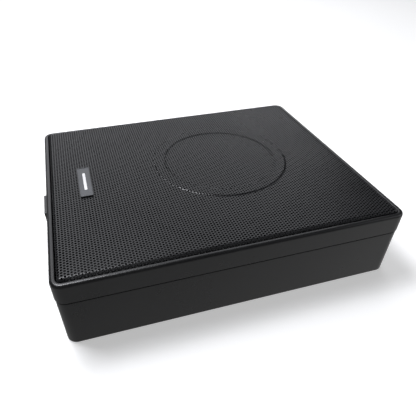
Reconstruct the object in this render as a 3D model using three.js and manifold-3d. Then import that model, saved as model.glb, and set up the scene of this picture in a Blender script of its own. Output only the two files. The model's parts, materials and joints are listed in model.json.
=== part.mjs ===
// Powered under-seat car subwoofer: a flat cast case with a perforated steel
// grille on top, a shallow woofer that fires upwards, and a built-in amplifier
// whose sockets and controls sit in a panel on the left end.
// Millimetres, +Z up, front towards -Y, control panel on the -X end.
// Origin: centre of the flat underside.

import * as THREE from 'three';
import { mergeVertices } from 'three/addons/utils/BufferGeometryUtils.js';
import Module from 'manifold-3d';

const wasm = await Module();
wasm.setup();

// ---------------------------------------------------------------------------
// Driving dimensions
// ---------------------------------------------------------------------------
const WIDTH = 345;            // whole case, left to right (X)
const DEPTH = 286;            // whole case, front to back (Y)
const HEIGHT = 77;            // underside to the top of the rim (Z)
const CORNER = 11;            // radius of the upright corners
const WALL = 3;               // case wall
const GAP = 0.3;              // clearance between neighbouring parts

const SKIRT_Z = 55.6;         // lower edge of the upper frame's skirt
const REVEAL = 0.6;           // the lower case stands this far inside the skirt
const TUB_TOP = 54.2;         // upper edge of the lower case
const RIM_WIDTH = 5.3;        // rim round the grille
const DECK_TOP = 56;          // mounting deck under the grille
const DECK_BOTTOM = 52.5;

const GRILLE_INSET = 6.0;     // grille's side, in from the case's side
const GRILLE_TOP = 78.6;      // a little above the rim
const GRILLE_SHEET = 1.2;
const GRILLE_BEND = 3.6;      // outside radius of the grille's folded edge
const EMBOSS_OUTER = 79;      // raised ring pressed into the grille
const EMBOSS_INNER = 64;
const EMBOSS_HEIGHT = 0.9;

const DRIVER_X = 28;          // woofer axis
const DRIVER_Y = 12;
const FLANGE_R = 120;         // woofer's mounting flange
const DECK_HOLE_R = 108;
const DRIVER_SCREWS = 6;
const DRIVER_SCREW_R = 115.5; // radius of the woofer's screw circle
const CONE_R = 88;            // outer edge of the cone
const COIL_R = 25.2;          // inside of the voice coil former

const PANEL_X = -173.4;       // outer face of the control panel
const PANEL_SHEET = 1.2;
const PANEL_HALF_LENGTH = 100;
const PANEL_Z = [8, 51.5];
const WINDOW_HALF_LENGTH = 91;
const WINDOW_Z = [13, 50];
const CONTROL_Z = 27;         // height of the row of sockets and knobs
const BOARD_TOP = 15.6;

const FLOOR = WALL;
const INNER_X = WIDTH / 2 - REVEAL - WALL;

// ---------------------------------------------------------------------------
// Finishes: colour, roughness, metalness
// ---------------------------------------------------------------------------
const FINISH = {
  case: [0x1d1e20, 0.5, 0.3],
  grille: [0x232426, 0.45, 0.6],
  badge: [0x6f7175, 0.35, 0.8],
  rubber: [0x141414, 0.8, 0],
  basket: [0x1a1b1c, 0.5, 0.5],
  ferrite: [0x2b2b2d, 0.7, 0.1],
  steel: [0x9a9c9f, 0.35, 0.9],
  cone: [0x1b1b1c, 0.6, 0],
  cloth: [0xb08a4a, 0.9, 0],
  former: [0x8a6a2c, 0.5, 0.1],
  copper: [0xb4622f, 0.35, 0.9],
  plastic: [0x111112, 0.45, 0],
  board: [0x1d4a2c, 0.5, 0],
  aluminium: [0xa9abad, 0.4, 0.9],
  capacitor: [0x1c2a3c, 0.4, 0.1],
  gold: [0xc79a45, 0.3, 0.9],
  fuse: [0xd96a1c, 0.3, 0],
  lamp: [0x2f6fd6, 0.2, 0],
  red: [0xa61c1c, 0.5, 0],
};

const model = new THREE.Group();

// ---------------------------------------------------------------------------
// Geometry helpers
// ---------------------------------------------------------------------------

// Signed volume of a triangle mesh, positive when its faces point outwards.
function signedVolume(geometry) {
  const position = geometry.getAttribute('position');
  const index = geometry.getIndex();
  const a = new THREE.Vector3();
  const b = new THREE.Vector3();
  const c = new THREE.Vector3();
  let volume = 0;
  for (let i = 0; i < index.count; i += 3) {
    a.fromBufferAttribute(position, index.getX(i));
    b.fromBufferAttribute(position, index.getX(i + 1));
    c.fromBufferAttribute(position, index.getX(i + 2));
    volume += a.dot(b.cross(c)) / 6;
  }
  return volume;
}

// Shared vertices merged, collapsed triangles dropped, faces pointing out.
function closed(source) {
  const bare = source.clone();
  bare.deleteAttribute('normal');
  bare.deleteAttribute('uv');
  const geometry = mergeVertices(bare, 1e-4);
  const old = geometry.getIndex().array;
  const kept = [];
  for (let i = 0; i < old.length; i += 3) {
    const [a, b, c] = [old[i], old[i + 1], old[i + 2]];
    if (a !== b && b !== c && c !== a) kept.push(a, b, c);
  }
  geometry.setIndex(kept);
  if (signedVolume(geometry) < 0) {
    for (let i = 0; i < kept.length; i += 3) {
      [kept[i + 1], kept[i + 2]] = [kept[i + 2], kept[i + 1]];
    }
    geometry.setIndex(kept);
  }
  return geometry;
}

function toSolid(geometry) {
  const mesh = closed(geometry);
  return new wasm.Manifold(new wasm.Mesh({
    numProp: 3,
    vertProperties: new Float32Array(mesh.getAttribute('position').array),
    triVerts: new Uint32Array(mesh.getIndex().array),
  }));
}

function toGeometry(solid) {
  const mesh = solid.getMesh();
  const geometry = new THREE.BufferGeometry();
  geometry.setAttribute('position', new THREE.BufferAttribute(new Float32Array(mesh.vertProperties), 3));
  geometry.setIndex(Array.from(mesh.triVerts));
  return geometry;
}

// Base shape with further shapes joined to it and others cut from it.
function combine(base, joined, cut) {
  let solid = toSolid(base);
  for (const geometry of joined) solid = solid.add(toSolid(geometry));
  for (const geometry of cut) solid = solid.subtract(toSolid(geometry));
  return toGeometry(solid);
}

function add(name, finish, geometry, x = 0, y = 0, z = 0) {
  const [color, roughness, metalness] = FINISH[finish];
  const shape = closed(geometry);
  shape.computeVertexNormals();
  const mesh = new THREE.Mesh(shape, new THREE.MeshStandardMaterial({ color, roughness, metalness }));
  mesh.name = name;
  mesh.position.set(x, y, z);
  model.add(mesh);
}

// Box given by its lowest and highest corners.
function block(low, high) {
  const size = high.map((value, i) => value - low[i]);
  const geometry = new THREE.BoxGeometry(...size);
  return geometry.translate(...low.map((value, i) => value + size[i] / 2));
}

// Upright cylinder, standing on z = bottom.
function post(radius, bottom, top, x, y, sides = 16) {
  const geometry = new THREE.CylinderGeometry(radius, radius, top - bottom, sides);
  return geometry.rotateX(Math.PI / 2).translate(x, y, (top + bottom) / 2);
}

// Cylinder lying along X between two planes.
function rod(radius, left, right, y, z, sides = 16) {
  const geometry = new THREE.CylinderGeometry(radius, radius, right - left, sides);
  return geometry.rotateZ(Math.PI / 2).translate((left + right) / 2, y, z);
}

// Profile of [radius, height] pairs turned about the Z axis.
function turned(profile, segments) {
  const points = profile.map(([radius, height]) => new THREE.Vector2(radius, height));
  return new THREE.LatheGeometry(points, segments).rotateX(Math.PI / 2);
}

// Flat ring with a rectangular section.
function ring(outer, inner, bottom, top, segments = 36) {
  const profile = [[inner, bottom], [outer, bottom], [outer, top], [inner, top], [inner, bottom]];
  return turned(profile, segments);
}

// Rounded rectangle, centred on the origin, as a list of points.
function outline(width, depth, radius, cornerSteps = 5) {
  const points = [];
  const centres = [[1, 1], [-1, 1], [-1, -1], [1, -1]];
  centres.forEach(([sx, sy], corner) => {
    for (let i = 0; i <= cornerSteps; i += 1) {
      const angle = (corner + i / cornerSteps) * Math.PI / 2;
      const x = sx * (width / 2 - radius) + radius * Math.cos(angle);
      const y = sy * (depth / 2 - radius) + radius * Math.sin(angle);
      points.push([x, y]);
    }
  });
  return points;
}

// Profile of [inset, height] pairs carried round the case's outline. A profile
// that doesn't return to its start is closed by a flat cap at each end.
function carried(profile) {
  const loops = profile.map(([inset, z]) => {
    const radius = Math.max(CORNER - inset, 1);
    return outline(WIDTH - 2 * inset, DEPTH - 2 * inset, radius).map(([x, y]) => [x, y, z]);
  });
  const count = loops[0].length;
  const vertices = loops.flat(2);
  const faces = [];
  for (let level = 0; level + 1 < loops.length; level += 1) {
    for (let i = 0; i < count; i += 1) {
      const a = level * count + i;
      const b = level * count + (i + 1) % count;
      faces.push(a, b, b + count, a, b + count, a + count);
    }
  }
  const [first, last] = [profile[0], profile[profile.length - 1]];
  if (first[0] !== last[0] || first[1] !== last[1]) {
    const centre = loops.length * count;
    vertices.push(0, 0, first[1], 0, 0, last[1]);
    const top = (loops.length - 1) * count;
    for (let i = 0; i < count; i += 1) {
      const next = (i + 1) % count;
      faces.push(centre, next, i, centre + 1, top + i, top + next);
    }
  }
  const geometry = new THREE.BufferGeometry();
  geometry.setAttribute('position', new THREE.Float32BufferAttribute(vertices, 3));
  geometry.setIndex(faces);
  return geometry;
}

// Round wire along a smooth curve through the given points.
function wire(points, radius, steps) {
  const path = new THREE.CatmullRomCurve3(points.map((point) => new THREE.Vector3(...point)));
  const section = new THREE.Shape();
  section.absarc(0, 0, radius, 0, 2 * Math.PI);
  return new THREE.ExtrudeGeometry(section, { steps, curveSegments: 4, extrudePath: path, bevelEnabled: false });
}

// Pan-head screw pointing up: head on z = 0, shank above it.
function screw(headRadius, headHeight, shankRadius, length) {
  return turned([
    [0, 0], [headRadius * 0.7, 0], [headRadius, headHeight * 0.6], [headRadius, headHeight],
    [shankRadius, headHeight], [shankRadius, length - shankRadius], [0, length],
  ], 12);
}

// ---------------------------------------------------------------------------
// Case
// ---------------------------------------------------------------------------
const BOSS_X = WIDTH / 2 - 16;
const BOSS_Y = DEPTH / 2 - 16;
const BOSS_R = 5.5;
const BOSS_PLACES = [[-1, -1], [1, -1], [1, 1], [-1, 1]].map(([sx, sy]) => [sx * BOSS_X, sy * BOSS_Y]);
const BOARD = { low: [-166, -92], high: [-75, 96] };
const PANEL_SCREWS = [[-96, 12], [96, 12], [96, 47.5], [-96, 47.5]];

const inset = REVEAL + WALL;
const tub = carried([
  [REVEAL + 0.8, 0], [REVEAL + 0.2, 0.3], [REVEAL, 1], [REVEAL, TUB_TOP],
  [inset, TUB_TOP], [inset, FLOOR],
]);
const bosses = BOSS_PLACES.map(([x, y]) => post(BOSS_R, 1, DECK_BOTTOM - GAP, x, y));
const standoffs = [
  [BOARD.low[0] + 6, BOARD.low[1] + 6], [BOARD.high[0] - 6, BOARD.low[1] + 6],
  [BOARD.high[0] - 6, BOARD.high[1] - 6], [BOARD.low[0] + 6, BOARD.high[1] - 6],
].map(([x, y]) => post(3.5, 1, 13.7, x, y, 12));
const bossBores = BOSS_PLACES.flatMap(([x, y]) => [
  post(2.2, -1, DECK_BOTTOM + 1, x, y, 12),
  post(4.4, -1, 2.4, x, y, 12),
]);
const panelWindow = block(
  [-WIDTH, -WINDOW_HALF_LENGTH, WINDOW_Z[0]],
  [-INNER_X + 1, WINDOW_HALF_LENGTH, WINDOW_Z[1]],
);
const panelPilots = PANEL_SCREWS.map(([y, z]) => rod(1.6, -WIDTH, -INNER_X + 1, y, z, 8));
add('lower_case', 'case', combine(tub, [...bosses, ...standoffs], [...bossBores, panelWindow, ...panelPilots]));

const deckInset = inset + GAP + 0.2;
const frame = carried([
  [deckInset, DECK_BOTTOM], [deckInset, SKIRT_Z], [0, SKIRT_Z], [0, HEIGHT - 2],
  [0.6, HEIGHT - 0.6], [2, HEIGHT], [RIM_WIDTH - 1.2, HEIGHT - 0.2], [RIM_WIDTH, HEIGHT - 1.4],
  [RIM_WIDTH, DECK_TOP],
]);
const driverScrewPlaces = Array.from({ length: DRIVER_SCREWS }, (_, i) => {
  const angle = (i + 0.5) * 2 * Math.PI / DRIVER_SCREWS;
  return [DRIVER_SCREW_R * Math.cos(angle), DRIVER_SCREW_R * Math.sin(angle)];
});
const deckBores = driverScrewPlaces.map(([x, y]) => post(1.9, 50, 60, DRIVER_X + x, DRIVER_Y + y, 8));
add('upper_frame', 'case', combine(frame, [], [
  post(DECK_HOLE_R, 50, 60, DRIVER_X, DRIVER_Y, 48), ...deckBores,
]));

add('case_seal', 'rubber', carried([
  [1.6, TUB_TOP + GAP], [3, TUB_TOP + GAP], [3, SKIRT_Z - GAP], [1.6, SKIRT_Z - GAP], [1.6, TUB_TOP + GAP],
]));

const bend = GRILLE_INSET + GRILLE_BEND;
const innerSide = GRILLE_INSET + GRILLE_SHEET;
const grilleSheet = carried([
  [bend, GRILLE_TOP], [GRILLE_INSET + 1.1, GRILLE_TOP - 1.1], [GRILLE_INSET, GRILLE_TOP - GRILLE_BEND],
  [GRILLE_INSET, DECK_TOP + GAP], [innerSide, DECK_TOP + GAP],
  [innerSide, GRILLE_TOP - GRILLE_BEND], [bend, GRILLE_TOP - GRILLE_SHEET],
]);
const emboss = ring(EMBOSS_OUTER, EMBOSS_INNER, GRILLE_TOP - 0.5, GRILLE_TOP + EMBOSS_HEIGHT, 48);
emboss.translate(DRIVER_X, DRIVER_Y, 0);
add('grille', 'grille', combine(grilleSheet, [emboss], []));

add('badge', 'badge', block([-137, -24, GRILLE_TOP + GAP], [-124, 34, GRILLE_TOP + 1.7]));

BOSS_PLACES.forEach(([x, y], i) => {
  add(`case_screw_${i + 1}`, 'steel', screw(3.9, 1.8, 1.8, 22), x, y, 0.4);
});

// ---------------------------------------------------------------------------
// Woofer: all parts are turned about its axis
// ---------------------------------------------------------------------------
const FLANGE_BOTTOM = 57.8;
const FLANGE_TOP = 60.3;
const BASKET_FLOOR = [21.6, 23.6];
const LEDGE_R = 68;
const LEDGE_Z = 30;

function addToDriver(name, finish, geometry) {
  add(name, finish, geometry, DRIVER_X, DRIVER_Y, 0);
}

const screwBores = (bottom, top) => driverScrewPlaces.map(([x, y]) => post(1.9, bottom, top, x, y, 8));
addToDriver('driver_gasket', 'rubber', combine(
  ring(FLANGE_R, 109.5, DECK_TOP + GAP, FLANGE_BOTTOM - GAP),
  [],
  screwBores(DECK_TOP, FLANGE_TOP),
));

const bowl = turned([
  [30, BASKET_FLOOR[0]], [LEDGE_R + 2, BASKET_FLOOR[0]], [LEDGE_R + 2, LEDGE_Z - 2], [LEDGE_R + 6, LEDGE_Z - 2],
  [106, FLANGE_BOTTOM], [FLANGE_R, FLANGE_BOTTOM], [FLANGE_R, FLANGE_TOP], [104, FLANGE_TOP],
  [LEDGE_R + 4, LEDGE_Z], [LEDGE_R - 2, LEDGE_Z], [LEDGE_R - 2, BASKET_FLOOR[1]], [30, BASKET_FLOOR[1]],
  [30, BASKET_FLOOR[0]],
], 36);
const windows = Array.from({ length: DRIVER_SCREWS }, (_, i) => {
  const opening = block([75.5, -26, LEDGE_Z + 1.5], [100, 26, FLANGE_BOTTOM - 2.5]);
  return opening.rotateZ((i + 0.5) * 2 * Math.PI / DRIVER_SCREWS + Math.PI / DRIVER_SCREWS);
});
const terminalEar = block([-106.5, -9, 54.2], [-99, 9, FLANGE_BOTTOM + 0.5]);
addToDriver('driver_basket', 'basket', combine(
  bowl,
  [terminalEar],
  [...windows, ...screwBores(DECK_TOP, FLANGE_TOP + 1)],
));
addToDriver('driver_terminal', 'plastic', block([-106.5, -8, 46], [-102, 8, 53.9]));

addToDriver('magnet_top_plate', 'steel', ring(52, 27.6, 17.3, 21.3));
addToDriver('magnet', 'ferrite', ring(56, 32, 8.8, 17));
addToDriver('back_plate_and_pole', 'steel', turned([
  [0, 4], [50, 4], [52, 5], [52, 8.5], [24.6, 8.5], [24.6, 21], [23.6, 21.5], [0, 21.5],
], 32));

const SHEET = 1;
const roll = [];
const ROLL_STEPS = 6;
const ROLL_HALF_WIDTH = 8.6;
const ROLL_HEIGHT = 6.4;
const ROLL_R = CONE_R + 2.6 + ROLL_HALF_WIDTH;
const ROLL_Z = FLANGE_TOP + GAP;
for (let i = 0; i <= ROLL_STEPS; i += 1) {
  const angle = Math.PI * i / ROLL_STEPS;
  roll.push([Math.cos(angle), Math.sin(angle)]);
}
const rollOuter = roll.map(([c, s]) => [ROLL_R + ROLL_HALF_WIDTH * c, ROLL_Z + SHEET + ROLL_HEIGHT * s]);
const rollInner = roll.map(([c, s]) => {
  return [ROLL_R + (ROLL_HALF_WIDTH - SHEET) * c, ROLL_Z + ROLL_HEIGHT * s];
});
addToDriver('surround', 'rubber', turned([
  [112, ROLL_Z], [112, ROLL_Z + SHEET], ...rollOuter, [CONE_R - 3, ROLL_Z + SHEET],
  [CONE_R - 3, ROLL_Z], ...rollInner.reverse(), [112, ROLL_Z],
], 32));

const WAVES = 3;
const WAVE_STEPS = 4 * WAVES;
const spiderTop = [];
const SPIDER_IN = 26.4;
const SPIDER_OUT = LEDGE_R + 3;
const SPIDER_Z = LEDGE_Z + GAP + 1.4;
for (let i = 0; i <= WAVE_STEPS; i += 1) {
  const t = i / WAVE_STEPS;
  const flat = Math.min(1, 6 * t, 6 * (1 - t));
  const radius = SPIDER_IN + (SPIDER_OUT - SPIDER_IN) * t;
  spiderTop.push([radius, SPIDER_Z + 1.2 * flat * Math.sin(2 * Math.PI * WAVES * t)]);
}
const spiderUnder = spiderTop.map(([radius, z]) => [radius, z - 1]).reverse();
addToDriver('spider', 'cloth', turned([...spiderTop, ...spiderUnder, spiderTop[0]], 24));

// ---------------------------------------------------------------------------
// Moving part of the woofer: it travels along the woofer's axis
// ---------------------------------------------------------------------------
const CONE_NECK = [COIL_R + 0.9, 38];
const CONE_EDGE = [CONE_R, ROLL_Z - GAP - 1.2];
const coneSteps = [0, 0.33, 0.67, 1];
// Slightly flared line from the neck to the edge.
const coneLine = coneSteps.map((t) => [
  CONE_NECK[0] + (CONE_EDGE[0] - CONE_NECK[0]) * t,
  CONE_NECK[1] + (CONE_EDGE[1] - CONE_NECK[1]) * (1.25 * t - 0.25 * t * t),
]);
const coneUnder = coneLine.map(([radius, z]) => [radius + 0.3, z - 1.1]).reverse();
addToDriver('cone', 'cone', turned([...coneLine, ...coneUnder, coneLine[0]], 36));

const CAP_R = 40;
const CAP_Z = 45.2;
const CAP_HEIGHT = 8;
const capSteps = [0, 0.25, 0.5, 0.75, 1];
const capOuter = capSteps.map((t) => [CAP_R * t, CAP_Z + CAP_HEIGHT * (1 - t * t)]);
const capInner = capSteps.map((t) => [(CAP_R - 1.5) * t, CAP_Z - 0.2 + (CAP_HEIGHT - 0.8) * (1 - t * t)]).reverse();
addToDriver('dust_cap', 'cone', turned([...capOuter, ...capInner], 24));
addToDriver('voice_coil_former', 'former', ring(COIL_R + 0.4, COIL_R, 15, 42, 24));
addToDriver('voice_coil_winding', 'copper', ring(COIL_R + 1.7, COIL_R + 0.7, 15.3, 24.3, 24));

driverScrewPlaces.forEach(([x, y], i) => {
  const down = screw(3.4, 2, 1.5, 12).rotateX(Math.PI);
  add(`driver_screw_${i + 1}`, 'steel', down, DRIVER_X + x, DRIVER_Y + y, FLANGE_TOP + GAP + 2);
});

// ---------------------------------------------------------------------------
// Amplifier
// ---------------------------------------------------------------------------
add('amplifier_board', 'board', block([BOARD.low[0], BOARD.low[1], 14], [BOARD.high[0], BOARD.high[1], BOARD_TOP]));

const SINK_X = -74;
const FIN_PITCH = 14;
const FIN_COUNT = 12;
const sinkBase = block([SINK_X, -80, FLOOR + GAP], [SINK_X + 4, 84, 34]);
const fins = Array.from({ length: FIN_COUNT }, (_, i) => {
  const y = -78 + FIN_PITCH * i;
  return block([SINK_X + 3, y, FLOOR + GAP], [SINK_X + 13, y + 2, 34]);
});
add('heatsink', 'aluminium', combine(sinkBase, fins, []));

[-24, 24].forEach((y, i) => {
  const body = block([SINK_X - 4.8, y - 5, 18], [SINK_X - GAP, y + 5, 30]);
  add(`output_transistor_${i + 1}`, 'plastic', body);
});
add('transistor_clamp', 'steel', block([SINK_X - 6.6, -34, 22], [SINK_X - 5.1, 34, 27]));

const toroid = ring(15, 8, BOARD_TOP + GAP, 29, 20);
add('filter_choke', 'copper', toroid, -104, 64, 0);

[-46, -70].forEach((y, i) => {
  const can = turned([
    [0, BOARD_TOP + GAP], [10, BOARD_TOP + GAP], [10, 44], [9, 45.5], [0, 45.5],
  ], 20);
  add(`supply_capacitor_${i + 1}`, 'capacitor', can, -104, y, 0);
});

const LEAD_START = DRIVER_X - 104;
[[5, 'positive', 'red'], [-5, 'negative', 'plastic']].forEach(([side, name, finish]) => {
  const y = DRIVER_Y + side;
  add(`speaker_lead_${name}`, finish, wire([
    [LEAD_START, y, 45.6], [LEAD_START - 1, y, 40], [LEAD_START - 8, y, 34],
    [LEAD_START - 12, y, 26], [LEAD_START - 12, y, BOARD_TOP + GAP],
  ], 1.1, 12));
});

// ---------------------------------------------------------------------------
// Control panel on the left end, with its sockets and controls
// ---------------------------------------------------------------------------
const PANEL_BACK = PANEL_X + PANEL_SHEET;
const BEHIND = PANEL_BACK + GAP;          // front of what stands behind the panel

// Rectangular socket: centre along Y, size, how far it reaches out and in.
const SOCKETS = [
  { name: 'power_connector', y: 20, z: 42.3, width: 36, height: 13, front: -180.2, wall: 2 },
  { name: 'speaker_level_socket', y: 70, z: CONTROL_Z, width: 22, height: 12, front: PANEL_X - 1, wall: 1.6 },
  { name: 'remote_jack', y: -38, z: CONTROL_Z, width: 14, height: 12, front: PANEL_X - 1, wall: 1.6 },
];
const SOCKET_BACK = -162;
const SOCKET_DEPTH = 11;
const FUSE = { y: 44, z: CONTROL_Z, width: 18, height: 10 };
const RCA = [['rca_jack_left', -4], ['rca_jack_right', -20]];
const RCA_R = 4.15;
const KNOBS = [['gain', -57], ['lowpass', -70], ['boost', -83]];
const KNOB_R = 4.6;
const STEM_R = 2.7;
const SWITCH_Z = 42;
const SWITCHES = [['phase_switch', -24], ['mode_switch', -46]];
const SLIDER = { length: 4, height: 3.4, travel: 4 };
const LAMP = { y: 88, z: CONTROL_Z, r: 1.6 };

function panelHole(y, z, width, height) {
  const [halfWidth, halfHeight] = [width / 2 + GAP, height / 2 + GAP];
  return block([PANEL_X - 1, y - halfWidth, z - halfHeight], [PANEL_BACK + 1, y + halfWidth, z + halfHeight]);
}

const panelHoles = [
  ...SOCKETS.map(({ y, z, width, height }) => panelHole(y, z, width, height)),
  panelHole(FUSE.y, FUSE.z, FUSE.width, FUSE.height),
  ...RCA.map(([, y]) => rod(RCA_R + GAP, PANEL_X - 1, PANEL_BACK + 1, y, CONTROL_Z)),
  ...KNOBS.map(([, y]) => rod(STEM_R + GAP, PANEL_X - 1, PANEL_BACK + 1, y, CONTROL_Z, 12)),
  ...SWITCHES.map(([, y]) => {
    return panelHole(y + SLIDER.travel / 2, SWITCH_Z, SLIDER.length + SLIDER.travel + 0.6, SLIDER.height + 0.6);
  }),
  rod(LAMP.r + GAP, PANEL_X - 1, PANEL_BACK + 1, LAMP.y, LAMP.z, 12),
  ...PANEL_SCREWS.map(([y, z]) => rod(1.6, PANEL_X - 1, PANEL_BACK + 1, y, z, 8)),
];
add('control_panel', 'case', combine(
  block([PANEL_X, -PANEL_HALF_LENGTH, PANEL_Z[0]], [PANEL_BACK, PANEL_HALF_LENGTH, PANEL_Z[1]]),
  [],
  panelHoles,
));

SOCKETS.forEach(({ name, y, z, width, height, front, wall }) => {
  const [halfWidth, halfHeight] = [width / 2, height / 2];
  const body = block([front, y - halfWidth, z - halfHeight], [SOCKET_BACK, y + halfWidth, z + halfHeight]);
  const mouth = block(
    [front - 1, y - halfWidth + wall, z - halfHeight + wall],
    [front + SOCKET_DEPTH, y + halfWidth - wall, z + halfHeight - wall],
  );
  add(name, 'plastic', combine(body, [], [mouth]));
});

const fuseSlot = block([PANEL_X - 2, FUSE.y - 6, FUSE.z - 2.5], [-166, FUSE.y + 6, FUSE.z + 2.5]);
const fuseBody = block(
  [PANEL_X - 0.6, FUSE.y - FUSE.width / 2, FUSE.z - FUSE.height / 2],
  [SOCKET_BACK, FUSE.y + FUSE.width / 2, FUSE.z + FUSE.height / 2],
);
add('fuse_holder', 'plastic', combine(fuseBody, [], [fuseSlot]));
add('fuse', 'fuse', block([PANEL_X - 3.4, FUSE.y - 5.4, FUSE.z - 1.9], [-166.3, FUSE.y + 5.4, FUSE.z + 1.9]));

// Turned piece lying along X, its far end pointing out of the panel (-X).
function outward(profile, segments) {
  return turned(profile, segments).rotateY(-Math.PI / 2);
}

RCA.forEach(([name, y]) => {
  const tip = 8;                           // reach beyond the panel's face
  const root = -9;
  add(name, 'gold', outward([
    [0, root], [RCA_R, root], [RCA_R, tip - 0.6], [RCA_R - 0.5, tip], [1.8, tip], [1.8, 1], [0, 1],
  ], 20), PANEL_X, y, CONTROL_Z);
});

KNOBS.forEach(([name, y]) => {
  const potBody = block([BEHIND, y - 5.5, CONTROL_Z - 5.5], [-163, y + 5.5, CONTROL_Z + 5.5]);
  const bore = rod(STEM_R + GAP, BEHIND - 1, -166.5, y, CONTROL_Z, 12);
  add(`${name}_potentiometer`, 'plastic', combine(potBody, [], [bore]));
  const knob = outward([
    [0, -6], [STEM_R, -6], [STEM_R, 0.4], [KNOB_R, 0.4], [KNOB_R, 6.6], [KNOB_R - 0.7, 7.4], [0, 7.4],
  ], 18);
  const pointer = block([-9, -0.5, 0.8], [-6.6, 0.5, KNOB_R + 1]);
  add(`${name}_knob`, 'plastic', combine(knob, [], [pointer]), PANEL_X, y, CONTROL_Z);
});

SWITCHES.forEach(([name, y]) => {
  const middle = y + SLIDER.travel / 2;
  const body = block([BEHIND, middle - 8, SWITCH_Z - 4], [-165, middle + 8, SWITCH_Z + 4]);
  const track = block([BEHIND - 1, middle - 4.4, SWITCH_Z - 2.1], [-168.6, middle + 4.4, SWITCH_Z + 2.1]);
  add(`${name}_body`, 'steel', combine(body, [], [track]));
  const half = [SLIDER.length / 2, SLIDER.height / 2];
  add(`${name}_slider`, 'plastic', block(
    [PANEL_X - 2.6, y - half[0], SWITCH_Z - half[1]],
    [-169, y + half[0], SWITCH_Z + half[1]],
  ));
});

add('power_lamp', 'lamp', outward([
  [0, -6], [LAMP.r, -6], [LAMP.r, 0.4], [LAMP.r * 0.7, 1.3], [0, 1.7],
], 12), PANEL_X, LAMP.y, LAMP.z);

PANEL_SCREWS.forEach(([y, z], i) => {
  const inwards = screw(2.9, 1.5, 1.2, 6.4).rotateY(Math.PI / 2);
  add(`panel_screw_${i + 1}`, 'steel', inwards, PANEL_X - GAP - 1.5, y, z);
});

export default model;
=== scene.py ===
"""Powered under-seat subwoofer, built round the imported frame.

The case, the perforated grille, the woofer and the control panel are surfaces
worked out with numpy. Lengths are metres; +Z is up and the front faces -Y.
"""

import json
import math

import bmesh
import bpy
import numpy as np
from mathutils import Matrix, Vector
from mathutils.geometry import tessellate_polygon


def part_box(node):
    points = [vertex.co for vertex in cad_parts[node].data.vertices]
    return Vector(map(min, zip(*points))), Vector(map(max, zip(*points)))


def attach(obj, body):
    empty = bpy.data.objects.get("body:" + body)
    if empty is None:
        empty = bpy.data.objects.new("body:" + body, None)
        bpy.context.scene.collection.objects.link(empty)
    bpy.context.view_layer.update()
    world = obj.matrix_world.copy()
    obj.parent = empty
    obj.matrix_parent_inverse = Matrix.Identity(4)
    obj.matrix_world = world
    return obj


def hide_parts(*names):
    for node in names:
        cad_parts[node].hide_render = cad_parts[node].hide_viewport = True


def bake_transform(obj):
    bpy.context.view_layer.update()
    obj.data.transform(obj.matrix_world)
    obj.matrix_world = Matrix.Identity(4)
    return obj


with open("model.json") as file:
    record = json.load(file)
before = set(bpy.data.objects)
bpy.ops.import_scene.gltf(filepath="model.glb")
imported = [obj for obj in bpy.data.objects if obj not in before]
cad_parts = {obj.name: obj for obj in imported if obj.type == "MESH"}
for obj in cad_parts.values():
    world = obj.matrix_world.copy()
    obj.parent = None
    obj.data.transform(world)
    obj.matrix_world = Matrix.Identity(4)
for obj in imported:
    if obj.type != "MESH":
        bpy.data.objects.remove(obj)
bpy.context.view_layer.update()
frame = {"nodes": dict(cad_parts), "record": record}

bl_info = {
    "name": "Under-seat Subwoofer",
    "version": (1, 0, 0),
    "blender": (4, 5, 0),
    "location": "View3D > Sidebar > Subwoofer",
    "description": "Builds a flat powered subwoofer with a perforated grille",
    "category": "Add Mesh",
}

MM = 0.001
MERGE = 1e-7
FIXED = "enclosure"
MOVING = "cone_assembly"


def box_of(node):
    """Lowest and highest corners of a CAD node as two arrays."""
    low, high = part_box(node)
    return np.array(low), np.array(high)


def middle_of(node):
    """Middle of a CAD node's box."""
    low, high = box_of(node)
    return (low + high) / 2


def radius_of(node, axis=0):
    """Half the size of a CAD node along an axis."""
    low, high = box_of(node)
    return (high[axis] - low[axis]) / 2


def screw_nodes(family):
    """Names of the CAD nodes of one family of screws."""
    return [f"{family}_screw_{number}" for number in range(1, SCREW_COUNTS[family] + 1)]


CASE_LOW, CASE_HIGH = box_of("upper_frame")
TUB_LOW, TUB_HIGH = box_of("lower_case")
GRILLE_LOW, GRILLE_HIGH = box_of("grille")
BADGE_LOW, BADGE_HIGH = box_of("badge")
PANEL_LOW, PANEL_HIGH = box_of("control_panel")
CONE_LOW, CONE_HIGH = box_of("cone")
DRIVER_AXIS = middle_of("driver_basket")
SEAL_HIGH = box_of("case_seal")[1]
GASKET_LOW = box_of("driver_gasket")[0]
CLEARANCE = 0.3 * MM
DECK_TOP = GASKET_LOW[2] - CLEARANCE
WINDOW_HALF = 91 * MM               # opening in the left wall, behind the panel
WINDOW_HEIGHTS = (13 * MM, 50 * MM)
SKIRT_BOTTOM = SEAL_HIGH[2] + CLEARANCE
SCREW_COUNTS = {"case": 4, "driver": 6, "panel": 4}
SCREW_RECESS = 4.4 * MM             # radius of the recess round each screw head underneath
BOSS_BORE, BOSS_RADIUS = 2.2 * MM, 5.5 * MM
BOSS_HEIGHTS = (3 * MM, 52.2 * MM)
WOOFER_OPENING = 108 * MM           # radius of the opening in the deck
PILOT_RADIUS = 1.9 * MM             # bores in the deck for the woofer's screws


# --- Sizes and colours that a user would change ---

def number(name, description, default, **kind):
    return bpy.props.FloatProperty(name=name, description=description, default=default, **kind)


def length(name, description, default):
    return number(name, description, default, unit="LENGTH", precision=5)


def colour(name, description, default):
    return bpy.props.FloatVectorProperty(
        name=name, description=description, default=default, size=3, subtype="COLOR", min=0, max=1)


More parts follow.
